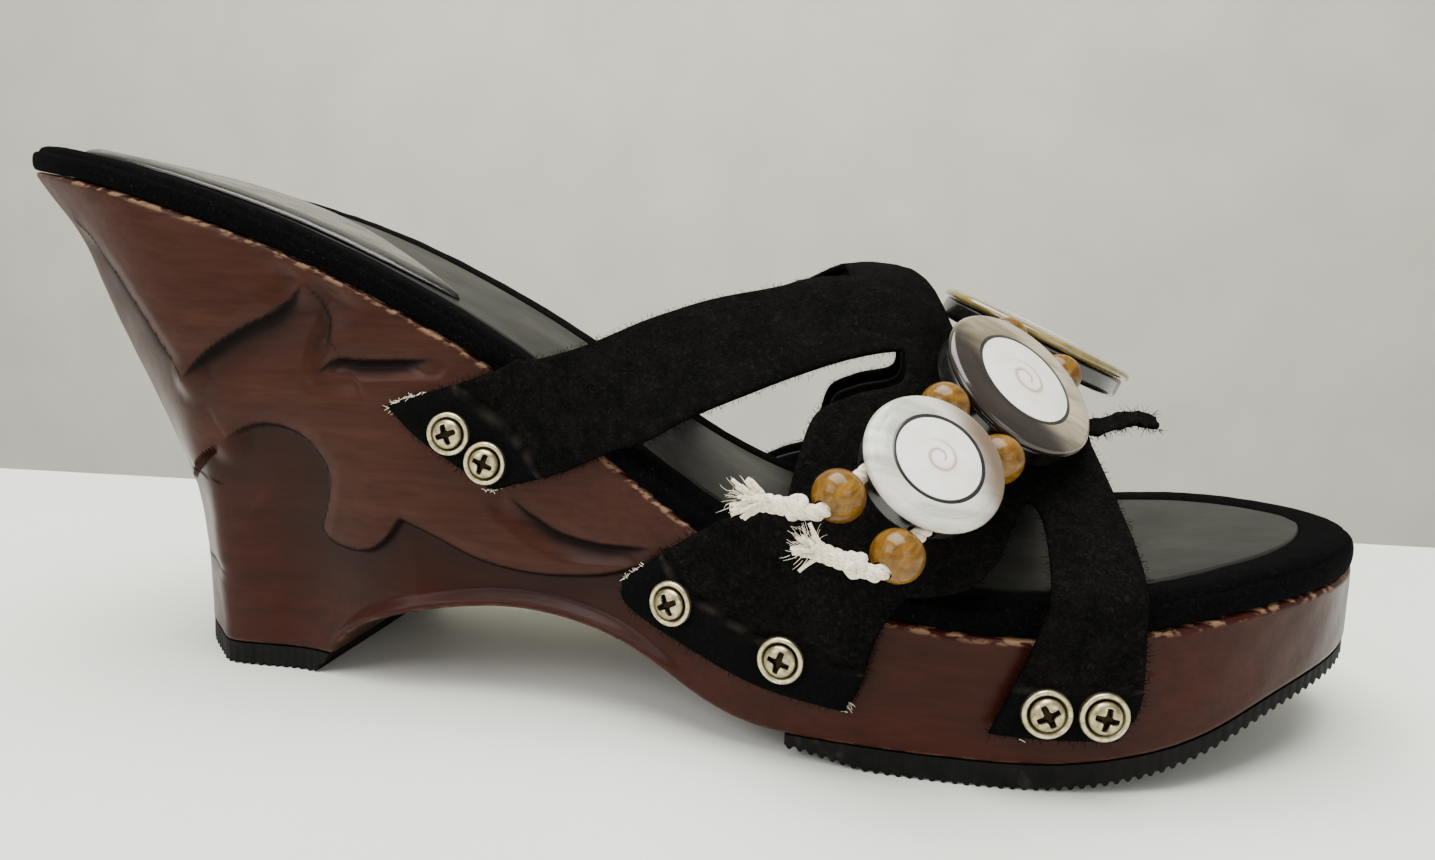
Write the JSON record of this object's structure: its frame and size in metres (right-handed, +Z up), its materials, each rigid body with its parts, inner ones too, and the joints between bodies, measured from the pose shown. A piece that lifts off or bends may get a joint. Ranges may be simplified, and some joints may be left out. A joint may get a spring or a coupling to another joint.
{
  "type": "wooden wedge clog",
  "caption": "Carved wooden wedge platform clog with a padded footbed, crossed suede upper screwed to the sides, and strung shell medallions with beads.",
  "frame": {"origin": "centre of the overall box in plan, on the ground under the soles", "axes": "+X from heel to toe, +Y to the inner side of the foot, +Z up"},
  "size_m": [0.243, 0.111, 0.0928],
  "materials": {
    "carved_wood": "satin varnish over red-brown stain",
    "footbed_foam": "cloth-backed foam",
    "footbed_leather": "smooth satin",
    "black_velvet": "velvet pile",
    "clear_gel": "clear soft gel",
    "black_rubber": "matt",
    "suede": "short nap",
    "lining_leather": "smooth",
    "brass_washer": "aged polish",
    "brass_screw": "aged polish",
    "pearl_shell": "polished shell",
    "black_resin": "polished",
    "white_operculum": "polished",
    "black_horn": "polished",
    "cotton_cord": "twisted cotton",
    "bead_wood": "polished"
  },
  "bodies": {
    "shoe": {"wooden_platform": "carved_wood", "footbed_foam": "footbed_foam", "footbed_leather": "footbed_leather", "velvet_rand": "black_velvet", "heel_gel_pad": "clear_gel", "toe_outsole": "black_rubber", "heel_lift": "black_rubber", "upper_lateral": "suede", "lining_lateral": "lining_leather", "washer_lateral_rear_1": "brass_washer", "screw_lateral_rear_1": "brass_screw", "washer_lateral_rear_2": "brass_washer", "screw_lateral_rear_2": "brass_screw", "washer_lateral_middle_1": "brass_washer", "screw_lateral_middle_1": "brass_screw", "washer_lateral_middle_2": "brass_washer", "screw_lateral_middle_2": "brass_screw", "washer_lateral_front_1": "brass_washer", "screw_lateral_front_1": "brass_screw", "washer_lateral_front_2": "brass_washer", "screw_lateral_front_2": "brass_screw", "upper_medial": "suede", "lining_medial": "lining_leather", "washer_medial_rear_1": "brass_washer", "screw_medial_rear_1": "brass_screw", "washer_medial_rear_2": "brass_washer", "screw_medial_rear_2": "brass_screw", "washer_medial_middle_1": "brass_washer", "screw_medial_middle_1": "brass_screw", "washer_medial_middle_2": "brass_washer", "screw_medial_middle_2": "brass_screw", "washer_medial_front_1": "brass_washer", "screw_medial_front_1": "brass_screw", "washer_medial_front_2": "brass_washer", "screw_medial_front_2": "brass_screw", "medallion_1_shell": "pearl_shell", "medallion_1_bezel": "black_resin", "medallion_1_inlay": "white_operculum", "medallion_1_backing": "black_horn", "medallion_2_shell": "pearl_shell", "medallion_2_bezel": "black_resin", "medallion_2_inlay": "white_operculum", "medallion_2_backing": "black_horn", "medallion_3_shell": "pearl_shell", "medallion_3_bezel": "black_resin", "medallion_3_inlay": "white_operculum", "medallion_3_backing": "black_horn", "cord_1": "cotton_cord", "cord_2": "cotton_cord", "suede_tie_end": "suede"},
    "bead_1_1_body": {"bead_1_1": "bead_wood"},
    "bead_1_2_body": {"bead_1_2": "bead_wood"},
    "bead_1_3_body": {"bead_1_3": "bead_wood"},
    "bead_1_4_body": {"bead_1_4": "bead_wood"},
    "bead_2_1_body": {"bead_2_1": "bead_wood"},
    "bead_2_2_body": {"bead_2_2": "bead_wood"},
    "bead_2_3_body": {"bead_2_3": "bead_wood"},
    "bead_2_4_body": {"bead_2_4": "bead_wood"}
  },
  "joints": [
    {"name": "bead_1_1_spin", "type": "hinge", "parent": "shoe", "child": "bead_1_1_body", "pos_m": [0.04226, -0.05076, 0.03614], "axis": [0.566, 0.681, 0.4646], "continuous": true},
    {"name": "bead_1_2_spin", "type": "hinge", "parent": "shoe", "child": "bead_1_2_body", "pos_m": [0.05623, -0.03256, 0.04666], "axis": [0.4249, 0.9011, 0.0865], "continuous": true},
    {"name": "bead_1_3_spin", "type": "hinge", "parent": "shoe", "child": "bead_1_3_body", "pos_m": [0.06849, -0.00533, 0.05741], "axis": [0.231, 0.863, 0.4493], "continuous": true},
    {"name": "bead_1_4_spin", "type": "hinge", "parent": "shoe", "child": "bead_1_4_body", "pos_m": [0.0738, 0.03666, 0.05956], "axis": [0.1145, 0.9933, 0.0139], "continuous": true},
    {"name": "bead_2_1_spin", "type": "hinge", "parent": "shoe", "child": "bead_2_1_body", "pos_m": [0.03454, -0.04905, 0.04305], "axis": [0.566, 0.681, 0.4646], "continuous": true},
    {"name": "bead_2_2_spin", "type": "hinge", "parent": "shoe", "child": "bead_2_2_body", "pos_m": [0.04844, -0.03131, 0.05358], "axis": [0.4644, 0.8796, 0.1033], "continuous": true},
    {"name": "bead_2_3_spin", "type": "hinge", "parent": "shoe", "child": "bead_2_3_body", "pos_m": [0.05982, -0.00442, 0.06305], "axis": [-0.0009, 0.9953, 0.097], "continuous": true},
    {"name": "bead_2_4_spin", "type": "hinge", "parent": "shoe", "child": "bead_2_4_body", "pos_m": [0.0643, 0.0377, 0.06391], "axis": [0.1145, 0.9933, 0.0139], "continuous": true}
  ]
}
